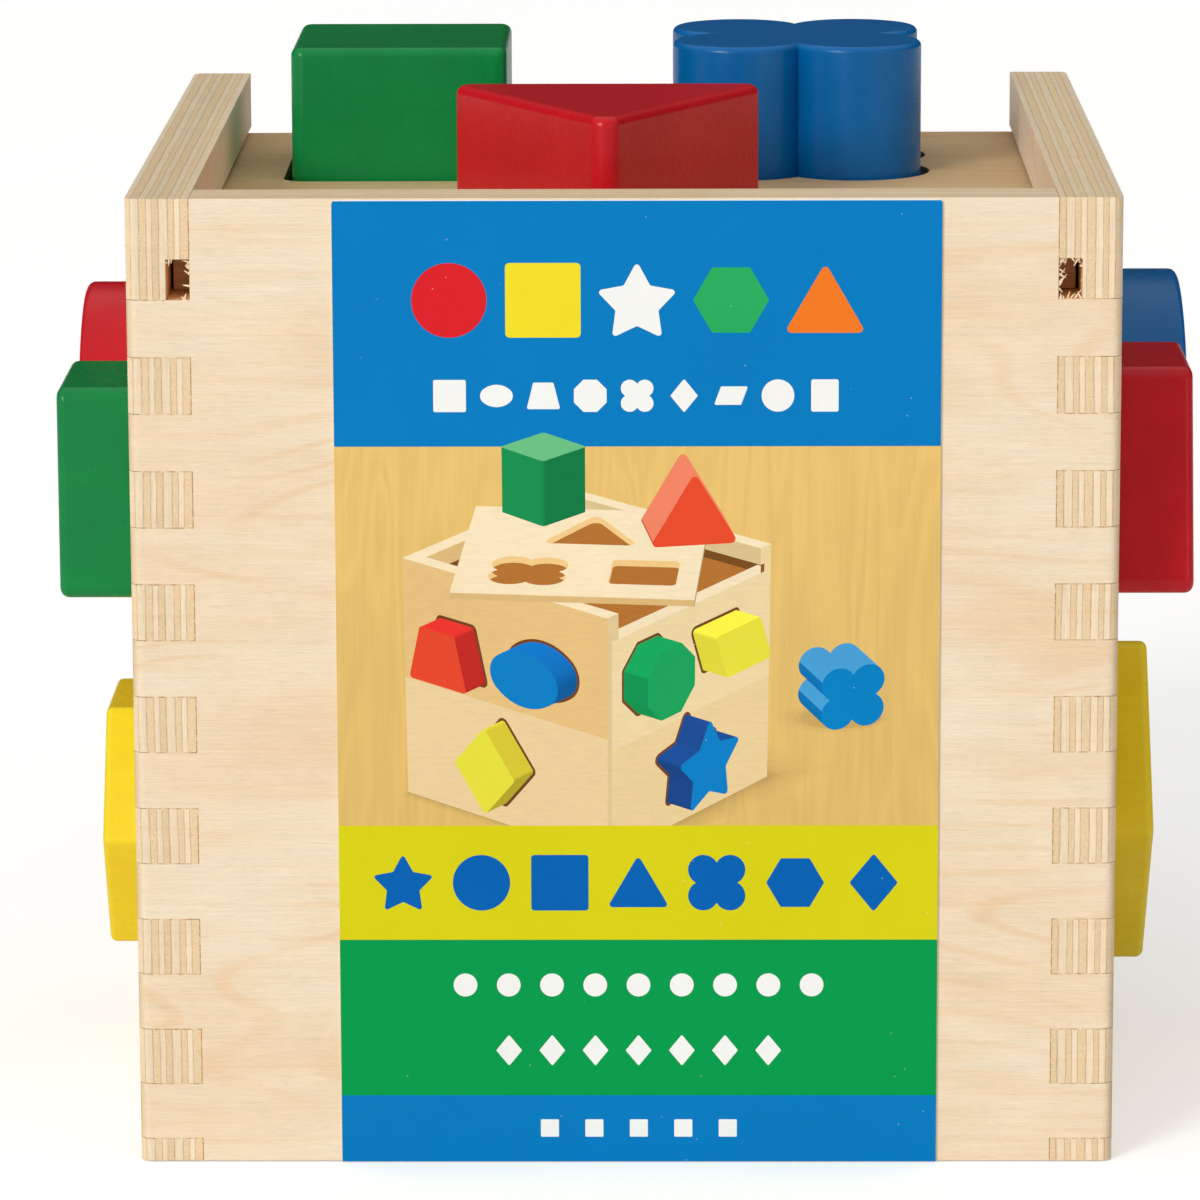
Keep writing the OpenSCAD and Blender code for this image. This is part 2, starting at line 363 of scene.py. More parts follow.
    rough = mat.lerp(end, mat.span(fibre, (0.2, 0.8), to=(0.52, 0.66)), 0.74)
    height = mat.add(mat.mul(fibre, 0.6), mat.mul(fine, 0.35))
    height = mat.sub(height, mat.mul(mat.span(pore, (0.62, 0.78)), 0.5))
    height = mat.sub(height, mat.mul(line, 0.8))
    height = mat.add(height, mat.mul(dots, end, 0.8))
    return mat.surface(base, rough, mat.bump(height, distance=0.00005, strength=0.7), spec=0.35)


# ------------------------------------------------------------------ the six boards
BOARDS = {
    # node: (thickness axis, good face is the high one, grain axis, plies, seed)
    "front_panel": (1, False, 0, 9, 1.0),
    "back_panel": (1, True, 0, 9, 2.0),
    "left_panel": (0, False, 1, 9, 3.0),
    "right_panel": (0, True, 1, 9, 4.0),
    "base_panel": (2, False, 0, 5, 5.0),
    "sliding_lid": (2, True, 0, 5, 6.0),
}
# painted shade, warm brown, in the shaded recesses: the lid's grooves, and the lid's own
# front edge between them
GROOVE_SHADE_X = (BASE_HI.x - 0.1, BASE_HI.x + 3.5)
GROOVE_SHADE_Z = (LID_LO.z - 0.25, LID_LO.z + 5.85)
GROOVE_SHADE_WALLS = (GROOVE_SHADE_X, (corners("front_panel")[0].y + 0.07, 1000.0), GROOVE_SHADE_Z)
GROOVE_SHADE_LID = (GROOVE_SHADE_X, (LID_LO.y - 1.0, LID_LO.y + 0.4), GROOVE_SHADE_Z)
ARRIS, LID_ARRIS = 0.09, 0.3  # widths of the softened edges


def dress_board(node, thick_axis, good_high, grain_axis, plies, seed):
    lo, hi = corners(node)
    faces = (lo[thick_axis], hi[thick_axis])
    if good_high:
        faces = faces[::-1]
    # painted shade in the lid's grooves: a box for the side and front walls and the lid, none for
    # the back and base
    groove_shade = {"back_panel": None, "base_panel": None, "sliding_lid": GROOVE_SHADE_LID}.get(
        node, GROOVE_SHADE_WALLS)
    timber = THIN_SHADED if node in ("base_panel", "sliding_lid") else BIRCH
    material = plywood("mat_" + node, faces, thick_axis, grain_axis, plies, seed, timber, groove_shade)
    obj = nodes[node]
    obj.data.materials.clear()
    obj.data.materials.append(material)
    weld = obj.modifiers.new("weld", "WELD")
    weld.merge_threshold = 2e-6
    flat = obj.modifiers.new("flat", "DECIMATE")
    flat.decimate_type = "DISSOLVE"
    flat.angle_limit = math.radians(1.0)
    flat.delimit = {"NORMAL"}
    arris = obj.modifiers.new("arris", "BEVEL")
    arris.width = (LID_ARRIS if node == "sliding_lid" else ARRIS) * MM
    arris.segments = 2
    arris.limit_method = "ANGLE"
    arris.angle_limit = math.radians(40)
    arris.harden_normals = False
    normals = obj.modifiers.new("normals", "WEIGHTED_NORMAL")
    normals.keep_sharp = False


for node, board in BOARDS.items():
    dress_board(node, *board)


# ------------------------------------------------------------------ outlines of the blocks
# Each maker gives a function from an offset (negative goes inwards) to a closed list of points.
def polar(radius, angle):
    return radius * Vector((math.cos(angle), math.sin(angle)))


def rounded(points, radius, steps=10):
    """A polygon with round corners."""
    points = [Vector(p) for p in points]
    arcs = []
    for i, corner in enumerate(points):
        before, after = points[i - 1], points[(i + 1) % len(points)]
        arriving, leaving = corner - before, after - corner
        to_before, to_after = (before - corner).normalized(), leaving.normalized()
        half_angle = math.acos(to_before.dot(to_after)) / 2
        reach = radius / math.sin(half_angle)
        centre = corner + (to_before + to_after).normalized() * reach
        # the normals at the arc's two ends
        start, end = (Vector((way.y, -way.x)).normalized() for way in (arriving, leaving))
        first = math.atan2(start.y, start.x)
        sweep = math.atan2(start.cross(end), start.dot(end))
        arcs.append((centre, first, sweep, 1 if arriving.cross(leaving) > 0 else -1))

    def at(offset=0.0):
        return [centre + polar(sign * (radius + sign * offset), first + sweep * k / steps)
                for centre, first, sweep, sign in arcs for k in range(steps + 1)]
    return at


def box_corners(half_width, half_height):
    return [Vector((half_width * x, half_height * y))
            for x, y in ((-1, -1), (1, -1), (1, 1), (-1, 1))]


def regular(count, radius, first):
    """Corners of a regular polygon, the first one at `first` degrees."""
    angles = [math.radians(first + i * 360 / count) for i in range(count)]
    return [(radius * math.cos(a), radius * math.sin(a)) for a in angles]


def star(outer, inner):
    radii = [inner if i % 2 else outer for i in range(10)]
    angles = [math.radians(90 + i * 36) for i in range(10)]
    return [(r * math.cos(a), r * math.sin(a)) for r, a in zip(radii, angles)]


def circle(radius, steps=128):
    return lambda offset=0.0: [polar(radius + offset, 2 * math.pi * k / steps)
                               for k in range(steps)]


def oval(half_length, half_height, end_radius, steps=24):
    """Two end arcs joined by two flatter ones."""
    end_x = half_length - end_radius
    flat_radius = ((end_x * end_x + half_height * half_height - end_radius * end_radius)
                   / (2 * (half_height - end_radius)))
    flat_y = flat_radius - half_height
    tilt = math.atan2(flat_y, end_x)  # from a flat arc's centre through an end arc's centre
    end_arc, flat_arc = range(steps + 1), range(1, steps)
    arcs = (
        # centre, radius, first angle, sweep, steps taken
        (Vector((end_x, 0)), end_radius, -tilt, 2 * tilt, end_arc),
        (Vector((0, -flat_y)), flat_radius, tilt, math.pi - 2 * tilt, flat_arc),
        (Vector((-end_x, 0)), end_radius, math.pi - tilt, 2 * tilt, end_arc),
        (Vector((0, flat_y)), flat_radius, math.pi + tilt, math.pi - 2 * tilt, flat_arc),
    )
    return lambda offset=0.0: [centre + polar(radius + offset, first + sweep * k / steps)
                               for centre, radius, first, sweep, taken in arcs for k in taken]


def quatrefoil(centre, lobe_radius, steps=28):
    """Four lobes centred at (+-centre, +-centre), meeting in shared points."""
    def at(offset=0.0):
        radius = lobe_radius + offset
        half = math.pi - math.acos(centre / radius) - math.pi / 4
        points = []
        for lobe, (x, y) in enumerate(((1, 1), (-1, 1), (-1, -1), (1, -1))):
            middle = math.pi / 4 + lobe * math.pi / 2
            for k in range(1 if lobe else 0, steps + (lobe < 3)):
                angle = middle - half + 2 * half * k / steps
                points.append(Vector((x * centre, y * centre)) + polar(radius, angle))
        return points
    return at


def extent(points):
    """Low and high corner of a flat outline."""
    xs, ys = [p.x for p in points], [p.y for p in points]
    return Vector((min(xs), min(ys))), Vector((max(xs), max(ys)))


# ------------------------------------------------------------------ the painted blocks
BLOCKS = {
    # kind: (outline, rim rounding, wall, paint)
    "square": (rounded(box_corners(16.5, 16.5), 2), 1.3, "top", "green"),
    "rectangle": (rounded(box_corners(13, 15.5), 2), 1.3, "left", "green"),
    "triangle": (rounded(regular(3, 28, -90), 2.5), 1.4, "top", "red"),
    "trapezoid": (rounded([(-20, -16), (20, -16), (12, 16), (-12, 16)], 2), 1.3,
                  "right", "red"),
    "rhombus": (rounded([(0, -26), (21, 0), (0, 26), (-21, 0)], 2), 1.2, "right", "yellow"),
    "octagon": (rounded(regular(8, 20 / math.cos(math.pi / 8), 22.5), 1, 4), 0.85,
                "back", "green"),
    "hexagon": (rounded(regular(6, 18.3 / math.cos(math.pi / 6), 0), 1.2, 6), 1.0,
                "left", "yellow"),
    "parallelogram": (rounded([(-24.5, -13.5), (14.5, -13.5), (24.5, 13.5), (-14.5, 13.5)], 2),
                      1.3, "back", "yellow"),
    "star": (rounded(star(28.5, 15), 2), 1.0, "back", "blue"),
    "circle": (circle(19), 1.2, "left", "red"),
    "oval": (oval(23, 16, 12), 1.2, "right", "blue"),
    "quatrefoil": (quatrefoil(8.9, 10.2), 0.9, "top", "blue"),
}
X, Y, Z = Vector((1, 0, 0)), Vector((0, 1, 0)), Vector((0, 0, 1))
# how a block stands in its wall: (across, up, out) axes
WALL_AXES = {"top": (X, Y, Z), "right": (Y, Z, X), "left": (Y, Z, -X), "back": (X, Z, Y)}
# film colour, and its deeper tone
PAINTS = {"green": (lin(0, 138, 66), lin(0, 122, 60)), "red": (lin(202, 20, 32), lin(184, 14, 26)),
          "blue": (lin(0, 103, 172), lin(0, 94, 160)),
          "yellow": (lin(244, 218, 40), lin(236, 206, 30))}
CHIP = (0.85, 0.82, 0.76)  # tone of the small scuffs


def paint(name, colour, deep, out, seed):
    """Gloss paint over wood: faint grain, uneven film, small scuffs. `out` is the block's axis."""
    mat = Material(name)
    position, normal = mat.coords()
    axis = next(i for i in range(3) if out[i])
    place, slope = mat.xyz(position), mat.xyz(normal)
    first, second = (place[i] for i in range(3) if i != axis)
    cap = mat.span(mat.absolute(slope[axis]), (0.7, 0.95))
    side_grain = mat.stretched((place[axis], 0.09), (first, 1.7),
                               mat.add(mat.mul(second, 1.7), seed), detail=4.0, rough=0.6)
    end_grain = mat.stretched((first, 2.2), (second, 2.2), seed, detail=4.0, rough=0.65)
    grain = mat.lerp(cap, side_grain, end_grain)
    peel = mat.noise(position, scale=0.55, detail=3.0, w=seed)
    film = mat.noise(position, scale=0.07, detail=3.0, rough=0.55, w=seed + 3.0)
    cells = mat.voronoi(mat.shift(position, (seed * 5.0, seed, -seed)), scale=0.42)
    patches = mat.noise(position, scale=0.2, detail=1.0, w=seed + 8.0)
    speck = mat.mul(mat.span(cells, (0.06, 0.03), smooth=True),
                    mat.span(patches, (0.55, 0.62)))
    base = mat.mix(mat.span(film, (0.3, 0.72)), colour, deep)
    base = mat.scale(base, mat.span(grain, (0.25, 0.75), to=(0.97, 1.03)))
    base = mat.mix(mat.mul(speck, 0.08), base, CHIP)
    rough = mat.add(mat.span(peel, (0.3, 0.7), to=(0.24, 0.31)),
                    mat.mul(mat.span(film, (0.45, 0.75)), 0.05))
    rough = mat.add(rough, mat.mul(cap, 0.03))
    height = mat.add(mat.mul(grain, 0.32), mat.mul(peel, 0.6))
    height = mat.add(height, mat.mul(speck, 0.3))
    return mat.surface(base, rough, mat.bump(height, distance=0.00007),
                       spec=0.22, coat=0.08, coat_rough=0.10)


def centre_in_wall(kind):
    """The middle of a block's CAD box, flattened onto its wall's across and up axes."""
    across, up, _ = WALL_AXES[BLOCKS[kind][2]]
    lo, hi = corners(kind + "_block")
    middle = (lo + hi) / 2
    return across * middle.dot(across) + up * middle.dot(up)


def block(kind, steps=6):
    """A block's outline swept through its CAD box, both ends rounded over."""
    outline_at, rim, wall, _ = BLOCKS[kind]
    across, up, out = WALL_AXES[wall]
    lo, hi = extent(outline_at())
    middle = (lo + hi) / 2
    centre = centre_in_wall(kind)
    start, end = sorted(corner.dot(out) for corner in corners(kind + "_block"))
    turns = [k / steps * math.pi / 2 for k in range(steps + 1)]
    levels = [(-rim * (1 - math.sin(t)), start + rim * (1 - math.cos(t))) for t in turns]
    levels += [(-rim * (1 - math.cos(t)), end - rim * (1 - math.sin(t))) for t in turns]
    bm = bmesh.new()
    skin_rings(bm, [[bm.verts.new((centre + across * (p.x - middle.x) + up * (p.y - middle.y)
                                   + out * level) * MM) for p in outline_at(offset)]
                    for offset, level in levels])
    bmesh.ops.remove_doubles(bm, verts=bm.verts, dist=2e-7)
    bmesh.ops.recalc_face_normals(bm, faces=bm.faces)
    for face in bm.faces:
        face.smooth = True
    for edge in bm.edges:
        if len(edge.link_faces) == 2 and edge.calc_face_angle(0) > math.radians(38):
            edge.smooth = False
    obj = add_object(kind + "_painted", bm)
    normals = obj.modifiers.new("normals", "WEIGHTED_NORMAL")
    normals.keep_sharp = True
    normals.weight = 80
    return obj


for k, (kind, (_, _, wall, colour)) in enumerate(BLOCKS.items()):
    node = kind + "_block"
    obj = block(kind)
    obj.data.materials.append(
        paint("mat_" + node, *PAINTS[colour], WALL_AXES[wall][2], seed=3.0 + 1.7 * k))
    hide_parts(node)
    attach(obj, node)

# ------------------------------------------------------------------ glue in the comb joints
FINGER = 8.15  # pitch of the fingers
FINGER_SEAMS = 16  # level seams at each joint
SEAM_HALF = 0.10  # half the width of a seam
SEAM_PROUD, SEAM_DEEP = 0.012, 0.6  # from a wall's outer face in to a strip's two faces
SEAM_GAP = 0.2  # an upright strip stops short of the level seams
GROOVE_MOUTH, GROOVE_DEEP = 6.2, 3.6  # kept free at the top fingers


def glue_seams(name):
    """Thin closed strips of dried glue in the seams between the walls' fingers."""
    side_hi = corners("right_panel")[1]
    half = side_hi.x
    inner = half - WALL
    split = BACK_TOP + 0.1
    levels = [split - FINGER * k for k in range(FINGER_SEAMS)]
    # even bands are the side walls' fingers, odd ones the front and back walls' own
    bands = list(zip(levels + [0.0], [side_hi.z] + levels))
    bm = bmesh.new()

    def strip(axis, sign, other, from_middle, bottom, top):
        """On the face at sign * half of `axis`, at the corner on the `other` side."""
        ranges = [sorted((sign * (half - SEAM_PROUD), sign * (half - SEAM_DEEP))),
                  sorted(other * distance for distance in from_middle)]
        if axis == 1:
            ranges.reverse()
        ranges.append((bottom, top))
        verts = [bm.verts.new([ranges[a][i >> a & 1] * MM for a in range(3)])
                 for i in range(8)]
        for face in ((0, 2, 3, 1), (4, 5, 7, 6), (0, 1, 5, 4), (2, 6, 7, 3), (0, 4, 6, 2),
                     (1, 3, 7, 5)):
            bm.faces.new([verts[i] for i in face])

    def joint_face(sign, other, axis):
        # upright seams at the fingers' roots
        for k, (bottom, top) in enumerate(bands):
            free = k == 0 and sign == 1  # the low back wall leaves this finger free
            if k % 2 != axis and not free:
                strip(axis, sign, other, (inner - SEAM_HALF, inner + SEAM_HALF),
                      bottom + (SEAM_GAP if k else GROOVE_MOUTH), top - SEAM_GAP)
        # level seams along the fingers
        for k, level in enumerate(levels):
            start = inner if k or axis == 0 else inner + GROOVE_DEEP
            strip(axis, sign, other, (start, half - 1.75), level - SEAM_HALF, level + SEAM_HALF)

    for sign in (-1, 1):
        for other in (-1, 1):
            for axis in (0, 1):
                joint_face(sign, other, axis)
    bmesh.ops.recalc_face_normals(bm, faces=bm.faces)
    return add_object(name, bm)


def glue_material():
    mat = Material("mat_glue_seams")
    position, _ = mat.coords()
    broken = mat.noise(position, scale=0.9, detail=4.0, rough=0.65)
    fine = mat.noise(position, scale=4.0)
    # the upright seams at the fingers' roots are the strongest
    upright = 0.0
    for value in mat.xyz(position)[:2]:
        off = mat.absolute(mat.sub(mat.absolute(value), BASE_HI.x))
        upright = mat.math("MAXIMUM", upright, mat.span(off, (0.2, 0.13)))
    strong = mat.add(broken, mat.mul(upright, 0.09))
    base = mat.mix(mat.span(strong, (0.42, 0.62)), lin(232, 208, 170), lin(182, 134, 80))
    base = mat.scale(base, mat.span(fine, (0.3, 0.7), to=(0.94, 1.04)))
    rough = mat.span(broken, (0.3, 0.7), to=(0.5, 0.68))
    return mat.surface(base, rough, mat.bump(fine, distance=0.00003), spec=0.3)


seams = glue_seams("glue_seams")
seams.data.materials.append(glue_material())
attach(seams, "box")


# ------------------------------------------------------------------ torn fibres, groove mouths
def fibres(name, side, count, longest, seed):
    """Thin closed slivers rooted on the edges of one groove mouth, behind the front face.
    `side` is -1 for the left groove and 1 for the right one."""
    rnd = random.Random(seed)
    face_y = corners("left_panel" if side < 0 else "right_panel")[0].y
    edge_x = (BASE_HI if side > 0 else BASE_LO).x
    inner_x, outer_x = edge_x + side * 0.1, edge_x + side * 3.3
    low_x, high_x = sorted((inner_x, outer_x))
    bottom, top = LID_LO.z + 0.05, LID_LO.z + 5.7
    bm = bmesh.new()
    for _ in range(count):
        edge = rnd.random()
        share = rnd.random()
        root_x, root_z = low_x + (high_x - low_x) * share, bottom + (top - bottom) * share
        if edge < 0.38:
            root, way = Vector((inner_x, 0, root_z)), Vector((side, 0, rnd.uniform(-1.1, 1.1)))
        elif edge < 0.62:
            root, way = Vector((root_x, 0, top)), Vector((rnd.uniform(-0.9, 0.9), 0, -1))
        elif edge < 0.86:
            root, way = Vector((root_x, 0, bottom)), Vector((rnd.uniform(-0.9, 0.9), 0, 1))
        else:
            root, way = Vector((outer_x, 0, root_z)), Vector((-side, 0, rnd.uniform(-0.9, 0.9)))
        way.normalize()
        length = longest * rnd.uniform(0.3, 1.0) ** 1.5
        thick = rnd.uniform(0.06, 0.12)
        wide = rnd.uniform(0.10, 0.19)
        y = face_y + 0.24 + rnd.uniform(0.0, 0.5)
        sideways = Vector((way.z, 0, -way.x))
        bend = rnd.uniform(-0.5, 0.5)
        root = root - way * 0.12
        rings = []
        for k in range(4):
            t = k / 3
            centre = (root + way * (length * t) + sideways * (bend * length * t * t * 0.5)
                      + Vector((0, y + 0.35 * t * t * rnd.uniform(0.2, 1.0), 0)))
            half_wide = wide * (1 - 0.72 * t) * (1.0 if k else 0.8)
            half_thick = thick * (1 - 0.6 * t)
            rings.append([bm.verts.new((centre + sideways * (half_wide * x)
                                        + Vector((0, half_thick * z, 0))) * MM)
                          for x, z in ((-1, -1), (1, -1), (1, 1), (-1, 1))])
        skin_rings(bm, rings)
    bmesh.ops.recalc_face_normals(bm, faces=bm.faces)
    return add_object(name, bm)


def fibre_material():
    mat = Material("mat_fibres")
    position, _ = mat.coords()
    tone = mat.noise(position, scale=1.7, detail=3.0, rough=0.6)
    base = mat.mix(mat.span(tone, (0.3, 0.7)), lin(250, 238, 214), lin(228, 196, 150))
    return mat.surface(base, 0.7, mat.bump(tone, distance=0.00004), spec=0.3)


torn_wood = fibre_material()
for settings in (dict(name="left_groove_fibres", side=-1, count=16, longest=1.1, seed=5),
                 dict(name="right_groove_fibres", side=1, count=34, longest=1.7, seed=11)):
    obj = fibres(**settings)
    obj.data.materials.append(torn_wood)
    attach(obj, "box")

# ------------------------------------------------------------------ the printed label
# Plain colour bands, rows of simple shapes and a drawing of the sorter itself, as flat
# polygons in mm from the label's bottom middle; later ones lie over earlier ones.
label_lo, label_hi = corners("front_label")
LABEL_X = (label_lo.x + label_hi.x) / 2
LABEL_WIDTH = label_hi.x - label_lo.x
LABEL_HEIGHT = label_hi.z
LABEL_CORNER = 0.6
PICTURE_BOTTOM, PICTURE_TOP = 49.8, 104.75
FLAT, PLY, TABLETOP = 0.0, 0.5, 1.0  # kinds of printed grain
polygons = []  # (points, colour, grain kind, clipping outline)


def poly(points, colour, grain=FLAT, clip=None):
    polygons.append(([Vector((p[0], p[1])) for p in points], colour, grain, clip))


def shade(colour, factor):
    return tuple(min(1.0, value * factor) for value in colour)


INK_BLUE, INK_GREEN, INK_LIME = lin(0, 121, 189), lin(0, 152, 75), lin(213, 205, 20)
INK_WHITE, INK_DEEP = lin(240, 240, 237), lin(0, 96, 176)
TABLE = lin(226, 188, 110)


def draw_bands():
    """The card's own outline, then its bands; they overshoot its sides and are cut off there."""
    card = [(-LABEL_WIDTH / 2, 0), (LABEL_WIDTH / 2, 0)]
    for side, first in ((1, 0), (-1, 90)):
        for k in range(7):
            angle = math.radians(first + 90 * k / 6)
            card.append((side * (LABEL_WIDTH / 2 - LABEL_CORNER) + LABEL_CORNER * math.cos(angle),
                         LABEL_HEIGHT - LABEL_CORNER + LABEL_CORNER * math.sin(angle)))
    poly(card, INK_WHITE)
    for bottom, top, colour, grain in (
            (PICTURE_TOP, LABEL_HEIGHT - 0.12, INK_BLUE, FLAT),
            (PICTURE_BOTTOM, PICTURE_TOP, TABLE, TABLETOP),
            (33.0, PICTURE_BOTTOM, INK_LIME, FLAT),
            (9.9, 33.0, INK_GREEN, FLAT),
            (0.0, 9.9, INK_BLUE, FLAT)):
        poly([(-LABEL_WIDTH, bottom), (LABEL_WIDTH, bottom),
              (LABEL_WIDTH, top), (-LABEL_WIDTH, top)], colour, grain)


def icon(kind, x, z, size, colour):
    """One of the block outlines as a flat sign of a given size; the triangle points up."""
    points = BLOCKS[kind][0]()
    lo, hi = extent(points)
    scale = size / max(hi.x - lo.x, hi.y - lo.y)
    middle = (lo + hi) / 2
    turn = math.pi if kind == "triangle" else 0.0
    cosine, sine = math.cos(turn), math.sin(turn)
    step = 1 if len(points) < 60 else 2
    poly([(x + scale * ((p.x - middle.x) * cosine - (p.y - middle.y) * sine),
           z + scale * ((p.x - middle.x) * sine + (p.y - middle.y) * cosine))
          for p in points[::step]], colour)


def icon_row(kinds, colours, height, pitch, size):
    for k, (kind, colour) in enumerate(zip(kinds, colours)):
        icon(kind, (k - (len(kinds) - 1) / 2) * pitch, height, size, colour)


draw_bands()
icon_row(("circle", "square", "star", "hexagon", "triangle"),
         (lin(214, 32, 40), lin(236, 218, 40), INK_WHITE, lin(40, 170, 92), lin(238, 120, 34)),
         height=125.6, pitch=13.2, size=10.6)
icon_row(("square", "oval", "trapezoid", "octagon", "quatrefoil", "rhombus", "parallelogram",
          "circle", "rectangle"), [INK_WHITE] * 9, height=112.0, pitch=6.6, size=4.6)
icon_row(("star", "circle", "square", "triangle", "quatrefoil", "hexagon", "rhombus"),
         [INK_DEEP] * 7, height=41.4, pitch=11.2, size=8.2)
icon_row(["circle"] * 9, [INK_WHITE] * 9, height=26.3, pitch=6.2, size=3.4)
icon_row(["rhombus"] * 7, [INK_WHITE] * 7, height=16.6, pitch=6.2, size=4.4)
icon_row(["square"] * 5, [INK_WHITE] * 5, height=5.0, pitch=6.4, size=2.6)

# ------------------------------------------------------------------ the drawing on the label
# The sorter in simple perspective, seen from above its back right corner, its lid lifted
# off and laid across the top.
picture_start = len(polygons)  # polygons from here on stop at the picture's lower edge
VIEW_TURN, VIEW_TILT = math.radians(129.0), math.radians(22.8)
VIEW_DISTANCE = 2600.0
VIEW_TARGET = Vector((0, 0, 62))
DRAWING_SCALE = 0.2619
DRAWING_ORIGIN = Vector((-7.1, 70.7))  # where the target falls on the label
TO_VIEWER = Vector((math.sin(VIEW_TURN) * math.cos(VIEW_TILT),
                    -math.cos(VIEW_TURN) * math.cos(VIEW_TILT), math.sin(VIEW_TILT)))
VIEW_RIGHT = Vector((math.cos(VIEW_TURN), math.sin(VIEW_TURN), 0))
VIEW_NEAR = Vector((math.sin(VIEW_TURN), -math.cos(VIEW_TURN), 0))  # level, towards the viewer
VIEW_UP = TO_VIEWER.cross(VIEW_RIGHT)

WOOD_L, WOOD_R, WOOD_TOP = lin(226, 189, 126), lin(229, 202, 150), lin(243, 224, 187)
DARK, INSIDE = lin(112, 66, 32), lin(176, 112, 48)
DRAWN_RED, DRAWN_GREEN = lin(224, 70, 42), lin(24, 158, 88)
DRAWN_BLUE, DRAWN_YELLOW = lin(6, 124, 194), lin(224, 218, 60)

HALF = 70  # half the drawn box's width
INNER = HALF - 9
FLOOR = 5  # top of its floor
TOP = corners("left_panel")[1].z
DRAWN_LID = 3.6  # thickness of the lid as drawn


def project(point):
    v = Vector(point) - VIEW_TARGET
    scale = VIEW_DISTANCE / (VIEW_DISTANCE - v.dot(TO_VIEWER)) * DRAWING_SCALE
    return DRAWING_ORIGIN + Vector((v.dot(VIEW_RIGHT), v.dot(VIEW_UP))) * scale


def face3(points, colour, grain=FLAT):
    poly([project(p) for p in points], colour, grain)


def patch(x, y, z, colour, grain):
    """A rectangle square to the axes: two of x, y and z are (low, high) pairs."""
    place = [x, y, z]
    first, second = (i for i in range(3) if isinstance(place[i], tuple))
    points = []
    for i, j in ((0, 0), (1, 0), (1, 1), (0, 1)):
        point = list(place)
        point[first], point[second] = place[first][i], place[second][j]
        points.append(point)
    face3(points, colour, grain)


def solid3(points, base, axes, length, colour, front, grain=FLAT, lit=None):
    """A prism: `points` in the plane of the first two axes, swept along the third towards the
    viewer. `front` colours its end, and `lit`, if given, its upward sides."""
    across, up, out = axes

    def at(point, height):
        return base + across * point.x + up * point.y + out * height

    if sum(a.x * b.y - b.x * a.y for a, b in zip(points, points[1:] + points[:1])) < 0:
        points = points[::-1]
    sides = []
    for a, b in zip(points, points[1:] + points[:1]):
        edge = b - a
        if edge.length < 1e-6:
            continue
        normal = (across * edge.y - up * edge.x).normalized()
        if normal.dot(TO_VIEWER) <= 0.01:
            continue
        # the picture's light comes from above and a little from the left
        light = (0.60 + 0.42 * max(0, normal.z) - 0.16 * normal.dot(VIEW_RIGHT)
                 + 0.08 * normal.dot(VIEW_NEAR))
        side_colour = lit if lit is not None and normal.z > 0.35 else shade(colour, light)
        nearness = ((at(a, length) + at(b, 0)) / 2).dot(TO_VIEWER)
        quad = [at(a, 0), at(b, 0), at(b, length), at(a, length)]
        sides.append((nearness, quad, side_colour))
    for _, quad, side_colour in sorted(sides, key=lambda side: side[0]):
        face3(quad, side_colour, grain)
    face3([at(p, length) for p in points], front, grain)


def outline(kind, gap=0.0):
    """A block's outline about the middle of its own box, thinned out."""
    points = BLOCKS[kind][0](gap)
    lo, hi = extent(points)
    middle = (lo + hi) / 2
    return [p - middle for p in points[::2]]


def standing(points):
    """Moved so that the lowest point is at zero."""
    lowest = Vector((0, min(p.y for p in points)))
    return [p - lowest for p in points]


def turned(degrees, first, second):
    """Two square axes turned in their plane, the first towards the second."""
    cosine, sine = math.cos(math.radians(degrees)), math.sin(math.radians(degrees))
    return first * cosine + second * sine, second * cosine - first * sine


